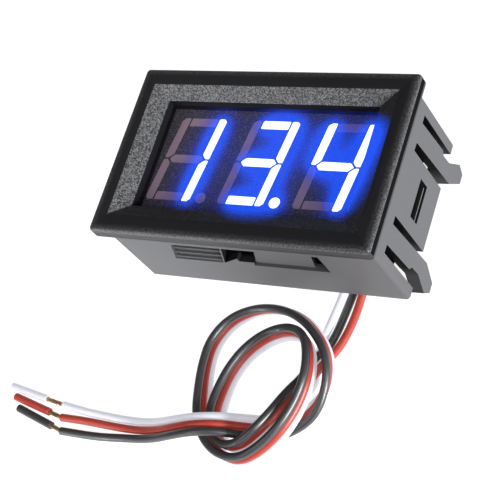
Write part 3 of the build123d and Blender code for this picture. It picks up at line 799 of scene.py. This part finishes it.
def housing_finish(face):
    """The finish of one face of the housing, by where it lies and the way it looks."""
    middle, normal = face.calc_center_median(), face.normal
    level, across, up = middle.z, abs(middle.x), abs(middle.y)
    in_frame = across < FRAME_HALF[0] + HAIR and up < FRAME_HALF[1] + HAIR
    if in_frame and level > FACE_LEVEL - FRAME_DEPTH - HAIR:
        if SLOPED < normal.z < FLAT:
            # The bottom and right slopes take the darker copy of the frame's finish, as painted shade.
            at_bottom_or_right = normal.y > TURNED or normal.x < -TURNED
            return FRAME_BOTTOM_RIGHT_PAINTED_SHADE if at_bottom_or_right else FRAME_TOP_LEFT
        return SATIN_BEZEL if normal.z > FLAT else SHADED_INSIDE
    if level > FACE_LEVEL - BEZEL_CROWN:
        return SATIN_BEZEL
    past_walls = across > WALL_HALF[0] + HAIR or up > WALL_HALF[1] + HAIR
    if past_walls and level > BEZEL_LEVEL - HAIR:
        return BEZEL_ENDS if abs(normal.x) > SQUARE else BEZEL_SIDES
    by_arm = ARM_OPENINGS[0] < up < ARM_OPENINGS[1]
    if by_arm and abs(normal.y) > NEARLY_SQUARE and across > WALL_HALF[0] - ARM_ZONE:
        return SLOT_SIDES_PAINTED_SHADE
    if by_arm and abs(normal.z) > HALFWAY and level > FACE_LEVEL - SLOT_ENDS_DEPTH:
        return SHADED_INSIDE
    on_walls = across > WALL_HALF[0] - HAIR or up > WALL_HALF[1] - HAIR
    if on_walls or level < WALLS_END + HAIR:
        return MATTE_WALLS
    if across > WALL_HALF[0] - SHORT_WALL_ZONE and normal.x * middle.x > NEARLY_SQUARE * across:
        return MATTE_WALLS
    at_corner = across > WALL_HALF[0] - CORNER_ZONE and up > WALL_HALF[1] - CORNER_ZONE
    if at_corner and abs(normal.z) < UPRIGHT:
        return MATTE_WALLS
    depth = WALL_HALF[1] - up
    by_ribs = middle.x < RIBS_END
    # Painted shade: ledges and grooves take the darker rib finish, rib tops the lighter one.
    if abs(normal.z) > HALFWAY and depth < LEDGE_DEPTH and BRIDGE[0] < middle.x < BRIDGE[1]:
        return RIB_GROOVES_PAINTED_SHADE
    if abs(normal.y) < HALFWAY and depth < GROOVES_DEPTH and by_ribs:
        return RIB_GROOVES_PAINTED_SHADE
    if abs(normal.y) > SQUARE and depth < RIB_TOPS_DEPTH:
        return RIB_TOPS
    if abs(normal.y) > SQUARE and depth < GROOVES_DEPTH:
        return RIB_GROOVES_PAINTED_SHADE if by_ribs else MATTE_WALLS
    return SHADED_INSIDE


def board_finish(face):
    """Solder mask on the flat faces of the board, laminate on its edges."""
    return BOARD_MASK if abs(face.normal.z) > SQUARE else BOARD_EDGE


HOUSING_FINISHES = [
    SATIN_BEZEL, MATTE_WALLS, FRAME_TOP_LEFT, BEZEL_SIDES, SHADED_INSIDE, RIB_GROOVES_PAINTED_SHADE, SLOT_SIDES_PAINTED_SHADE,
    FRAME_BOTTOM_RIGHT_PAINTED_SHADE, RIB_TOPS, BEZEL_ENDS,
]
housing = eased_copy(
    "housing", "moulded_housing", HOUSING_FINISHES, housing_finish, width=0.09 * MM, segments=2,
    fine_finishes=(FRAME_TOP_LEFT, FRAME_BOTTOM_RIGHT_PAINTED_SHADE),
)

board = eased_copy(
    "circuit_board", "laminated_board", [BOARD_MASK, BOARD_EDGE], board_finish, width=0.04 * MM, segments=1
)


def rounded_segments(node, material):
    """Segments of resin whose upright corners are rounded; the decimal points are round already."""
    mesh = clean_shape(node)
    upright = [e for e in mesh.edges if abs(e.verts[0].co.z - e.verts[1].co.z) > UPRIGHT_CLIMB]
    if "point" not in node:
        bmesh.ops.bevel(
            mesh, geom=upright, offset=SEGMENT_ROUNDING, segments=3, profile=0.5, affect="EDGES"
        )
    data = kept_mesh(mesh, node + "_resin")
    data.materials.append(material)
    piece = add_piece(node + "_resin", data)
    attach(piece, BODY)
    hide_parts(node)


for lit_node, dark_node in SEGMENT_NODES:
    rounded_segments(lit_node, LIT_RESIN)
    rounded_segments(dark_node, DARK_RESIN)


# Window: a fine grid, so that the painted haze of light fades smoothly, with a dark border on its underside
WINDOW_GAP = 0.04 * MM
CLEAR_HALF = (18.1 * MM, 9.0 * MM)
GLOW_STEP = 0.25 * MM
WINDOW_FINISHES = [SMOKED_WINDOW, WINDOW_UNDERSIDE, SHADED_INSIDE]


def window_piece():
    """The smoked window, in the place of its CAD node."""
    low, high = [list(corner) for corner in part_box("display_window")]
    low[2] += WINDOW_GAP
    mesh = bmesh.new()
    columns = round((high[0] - low[0]) / GLOW_STEP)
    rows = round((high[1] - low[1]) / GLOW_STEP)
    spans = [(low[0], high[0], columns), (low[1], high[1], rows)]
    xs, ys = [np.linspace(start, stop, count + 1) for start, stop, count in spans]
    sheets = []
    for level in (low[2], high[2]):
        sheets.append([[mesh.verts.new((x, y, level)) for x in xs] for y in ys])
    bottom, top = sheets
    for r in range(rows):
        for c in range(columns):
            mesh.faces.new((top[r][c], top[r][c + 1], top[r + 1][c + 1], top[r + 1][c]))
            mesh.faces.new((bottom[r][c], bottom[r + 1][c], bottom[r + 1][c + 1], bottom[r][c + 1]))
    loop = [(0, c) for c in range(columns)] + [(r, columns) for r in range(rows)]
    loop += [(rows, c) for c in range(columns, 0, -1)] + [(r, 0) for r in range(rows, 0, -1)]
    for (r0, c0), (r1, c1) in zip(loop, loop[1:] + loop[:1]):
        mesh.faces.new((bottom[r0][c0], bottom[r1][c1], top[r1][c1], top[r0][c0]))
    data = kept_mesh(mesh, "smoked_window")
    places = vertex_places(data)
    glow = glow_at(places)
    glow[places[:, 2] < (low[2] + high[2]) / 2] = 0.0
    keep_glow(data, glow)
    for finish in WINDOW_FINISHES:
        data.materials.append(finish)
    for face in data.polygons:
        in_border = abs(face.center.x) > CLEAR_HALF[0] or abs(face.center.y) > CLEAR_HALF[1]
        finish = SHADED_INSIDE if in_border else WINDOW_UNDERSIDE
        if face.normal.z > HALFWAY:
            finish = SMOKED_WINDOW
        face.material_index = WINDOW_FINISHES.index(finish)
    return add_piece("smoked_window", data)


window = window_piece()
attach(window, BODY)
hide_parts("display_window")


# Repeated forms, grown by geometry trees and kept as plain meshes
STRAND_STEPS = 28
STRAND_SIDES = 10
FILLET_SIDES = 24
FILLET_RINGS = 6


def new_tree(name, inputs):
    """A geometry tree with named size inputs, and its input and output sockets."""
    tree = bpy.data.node_groups.new(name, "GeometryNodeTree")
    tree.interface.new_socket("Geometry", in_out="INPUT", socket_type="NodeSocketGeometry")
    tree.interface.new_socket("Geometry", in_out="OUTPUT", socket_type="NodeSocketGeometry")
    tree.interface.new_socket("Finish", in_out="INPUT", socket_type="NodeSocketMaterial")
    for socket, kind, value in inputs:
        tree.interface.new_socket(socket, in_out="INPUT", socket_type=kind).default_value = value
    given = tree.nodes.new("NodeGroupInput").outputs
    result = tree.nodes.new("NodeGroupOutput").inputs
    return tree, given, result


def finish_tree(tree, geometry, finish, result):
    """Ends a tree with plain, smooth, finished geometry."""
    plain = add_node(tree, "GeometryNodeRealizeInstances", Geometry=geometry).outputs["Geometry"]
    smooth = add_node(tree, "GeometryNodeSetShadeSmooth", Geometry=plain).outputs["Geometry"]
    done = add_node(tree, "GeometryNodeSetMaterial", Geometry=smooth, Material=finish).outputs["Geometry"]
    tree.links.new(done, result["Geometry"])


def strand_tree():
    """A bundle of strands that wind round one another along Z."""
    inputs = [
        ("Length", "NodeSocketFloat", 4.0 * MM),
        ("Bundle Radius", "NodeSocketFloat", 0.26 * MM),
        ("Strand Radius", "NodeSocketFloat", 0.12 * MM),
        ("Turns per Metre", "NodeSocketFloat", 130.0),
        ("Strands", "NodeSocketInt", 6),
    ]
    tree, given, result = new_tree("twisted_strands", inputs)
    top = add_node(tree, "ShaderNodeCombineXYZ", Z=given["Length"]).outputs["Vector"]
    line = add_node(tree, "GeometryNodeCurvePrimitiveLine", End=top).outputs["Curve"]
    fine = add_node(tree, "GeometryNodeResampleCurve", Curve=line, Count=STRAND_STEPS).outputs["Curve"]
    copies = add_node(
        tree, "GeometryNodeDuplicateElements", domain="SPLINE", Geometry=fine, Amount=given["Strands"]
    )
    place = add_node(tree, "GeometryNodeInputPosition").outputs["Position"]
    level = add_node(tree, "ShaderNodeSeparateXYZ", Vector=place).outputs["Z"]
    share = math_node(tree, "DIVIDE", copies.outputs["Duplicate Index"], given["Strands"])
    twist = math_node(tree, "MULTIPLY", level, given["Turns per Metre"])
    turns = math_node(tree, "ADD", share, twist)
    angle = math_node(tree, "MULTIPLY", turns, 2 * math.pi)
    x = math_node(tree, "MULTIPLY", math_node(tree, "COSINE", angle), given["Bundle Radius"])
    y = math_node(tree, "MULTIPLY", math_node(tree, "SINE", angle), given["Bundle Radius"])
    wound = add_node(tree, "ShaderNodeCombineXYZ", X=x, Y=y, Z=level).outputs["Vector"]
    moved = add_node(tree, "GeometryNodeSetPosition", Geometry=copies.outputs["Geometry"], Position=wound)
    radius = given["Strand Radius"]
    ring = add_node(tree, "GeometryNodeCurvePrimitiveCircle", Resolution=STRAND_SIDES, Radius=radius)
    strands = add_node(
        tree, "GeometryNodeCurveToMesh", Curve=moved.outputs["Geometry"],
        Profile_Curve=ring.outputs["Curve"], Fill_Caps=True,
    )
    finish_tree(tree, strands.outputs["Mesh"], given["Finish"], result)
    return tree


def solder_tree():
    """A hollow-sided cone of solder at every point, its foot on the board and its tip below."""
    inputs = [
        ("Foot Radius", "NodeSocketFloat", 0.75 * MM),
        ("Tip Radius", "NodeSocketFloat", 0.45 * MM),
        ("Height", "NodeSocketFloat", 0.8 * MM),
        ("Hollow", "NodeSocketFloat", 0.12),
    ]
    tree, given, result = new_tree("solder_fillets", inputs)
    cone = add_node(
        tree, "GeometryNodeMeshCone", Vertices=FILLET_SIDES, Side_Segments=FILLET_RINGS,
        Radius_Top=given["Tip Radius"], Radius_Bottom=given["Foot Radius"], Depth=given["Height"],
    ).outputs["Mesh"]
    place = add_node(tree, "GeometryNodeInputPosition").outputs["Position"]
    split = add_node(tree, "ShaderNodeSeparateXYZ", Vector=place).outputs
    share = math_node(tree, "DIVIDE", split["Z"], given["Height"])
    wave = math_node(tree, "SINE", math_node(tree, "MULTIPLY", share, math.pi))
    waist = math_node(tree, "SUBTRACT", 1.0, math_node(tree, "MULTIPLY", wave, given["Hollow"]))
    x = math_node(tree, "MULTIPLY", split["X"], waist)
    y = math_node(tree, "MULTIPLY", split["Y"], waist)
    down = math_node(tree, "MULTIPLY", split["Z"], -1.0)
    drawn = add_node(tree, "ShaderNodeCombineXYZ", X=x, Y=y, Z=down).outputs["Vector"]
    fillet = add_node(tree, "GeometryNodeSetPosition", Geometry=cone, Position=drawn).outputs["Geometry"]
    outward = add_node(tree, "GeometryNodeFlipFaces", Mesh=fillet).outputs["Mesh"]
    set_down = add_node(tree, "GeometryNodeInstanceOnPoints", Points=given["Geometry"], Instance=outward)
    finish_tree(tree, set_down.outputs["Instances"], given["Finish"], result)
    return tree


def grown(tree, name, points, material, **values):
    """The plain mesh that a tree makes from a list of points."""
    source = bpy.data.meshes.new(name)
    source.from_pydata(points, [], [])
    maker = add_piece(name + "_maker", source)
    modifier = maker.modifiers.new(name, "NODES")
    modifier.node_group = tree
    values["Finish"] = material
    for item in tree.interface.items_tree:
        if item.in_out == "INPUT" and item.name in values:
            modifier[item.identifier] = values[item.name]
    shaped = maker.evaluated_get(bpy.context.evaluated_depsgraph_get())
    data = bpy.data.meshes.new_from_object(shaped)
    data.name = name
    bpy.data.objects.remove(maker)
    return data


STRANDS = strand_tree()
FILLETS = solder_tree()
PIN_PLACES = []
for pin in range(PINS_PER_ROW):
    along = (pin - (PINS_PER_ROW - 1) / 2) * PIN_PITCH
    PIN_PLACES += [(along, -PIN_ROW_GAP / 2, BOARD_BACK), (along, PIN_ROW_GAP / 2, BOARD_BACK)]
WIRE_PLACES = [(x * MM, y * MM, BOARD_BACK) for x, y, _ in (WIRE_LEADS[c][0] for c in WIRE_COLOURS)]
for node, places in (("pin_solder_joints", PIN_PLACES), ("wire_solder_joints", WIRE_PLACES)):
    fillets = add_piece(node + "_fillets", grown(FILLETS, node + "_fillets", places, SOLDER))
    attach(fillets, BODY)
    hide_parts(node)


# Stripped ends: the way that each points, in degrees, and the length of bare strands in millimetres.
# The strands start a small gap from the wire's insulation and end a little way into the sleeve.
STRIPPED_ENDS = {"white": (171.2, 3.6), "red": (168.0, 2.7), "black": (165.3, 2.2)}
STRAND_GAP = 0.2
STRAND_INSERT = 1.0


def bare_strands(colour):
    """Twisted strands at a wire's stripped end, with the core at its board end."""
    degrees, bare = STRIPPED_ENDS[colour]
    length = (bare + STRAND_INSERT - STRAND_GAP) * MM
    data = grown(STRANDS, colour + "_strands", [(0, 0, 0)], COPPER, Length=length)
    angle = math.radians(degrees)
    onward = Vector((math.cos(angle), math.sin(angle), 0))
    start = Vector(WIRE_TAILS[colour][-1]) * MM + onward * STRAND_GAP * MM
    data.transform(Matrix.Translation(start) @ onward.to_track_quat("Z", "Y").to_matrix().to_4x4())
    mesh = bmesh.new()
    mesh.from_mesh(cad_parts[colour + "_core"].data)
    at_strip = [v for v in mesh.verts if v.co.x < 0]
    bmesh.ops.delete(mesh, geom=at_strip, context="VERTS")
    mesh.from_mesh(data)
    mesh.to_mesh(data)
    mesh.free()
    for face in data.polygons:
        face.material_index = 0
    piece = add_piece(colour + "_strands", data)
    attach(piece, BODY)
    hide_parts(colour + "_core")
    return piece


for place, colour in enumerate(WIRE_COLOURS):
    insulation = INSULATION[colour]
    sleeve = eased_copy(
        colour + "_sleeve", colour + "_cut_insulation", [insulation], lambda face: insulation,
        width=0.1 * MM, segments=3,
    )
    strands = bare_strands(colour)
    wire = wire_curve(colour, place)
    wire.data.materials.append(insulation)
    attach(wire, BODY)
    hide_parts(colour + "_wire")


# Floor and light
FLOOR_HALF = 3.0
WHITE = (1.0, 1.0, 1.0, 1.0)
floor_corners = [(x * FLOOR_HALF, y * FLOOR_HALF, 0) for x, y in ((-1, -1), (1, -1), (1, 1), (-1, 1))]
floor_data = bpy.data.meshes.new("floor")
floor_data.from_pydata(floor_corners, [], [(0, 1, 2, 3)])
floor = add_piece("floor", floor_data)
floor_finish = Finish(
    "floor_white", Base_Color=(0.35, 0.35, 0.35, 1.0), Roughness=0.95, Emission_Color=WHITE,
    Emission_Strength=0.92,
)
floor_data.materials.append(floor_finish.material)

world = bpy.data.worlds.new("studio")
bpy.context.scene.world = world
world.use_nodes = True
sky = world.node_tree.nodes["Background"].inputs
sky["Strength"].default_value = 0.15
sky["Color"].default_value = WHITE


def add_light(kind, name, place, target, energy, **settings):
    """A light that points at a target."""
    data = bpy.data.lights.new(name, kind)
    data.energy = energy
    for setting, value in settings.items():
        setattr(data, setting, value)
    light = bpy.data.objects.new(name, data)
    bpy.context.collection.objects.link(light)
    light.location = place
    light.rotation_euler = (Vector(target) - Vector(place)).to_track_quat("-Z", "Y").to_euler()


# A low key light from the right and the front, a small lamp by the front left corner, one overhead,
# and a broad one from the front that lies along the wires as their sheen
add_light("SUN", "key_light", (0.72, -0.29, 0.16), (0.0, 0.0, 0.0), energy=4.5, angle=0.30)
add_light(
    "SPOT", "left_lamp", (-0.12, -0.24, 0.08), (-0.026, -0.0132, 0.011), energy=3.1,
    spot_size=0.24, spot_blend=1.0, shadow_soft_size=0.02,
)
add_light("AREA", "top_lamp", (-0.22, -0.34, 0.50), (0.0, -0.02, 0.0), energy=0.45, size=0.12)
add_light("AREA", "front_lamp", (0.26, -0.18, 0.39), (0.0, -0.02, 0.0), energy=0.50, size=0.22)

bpy.context.scene.view_settings.view_transform = "Standard"

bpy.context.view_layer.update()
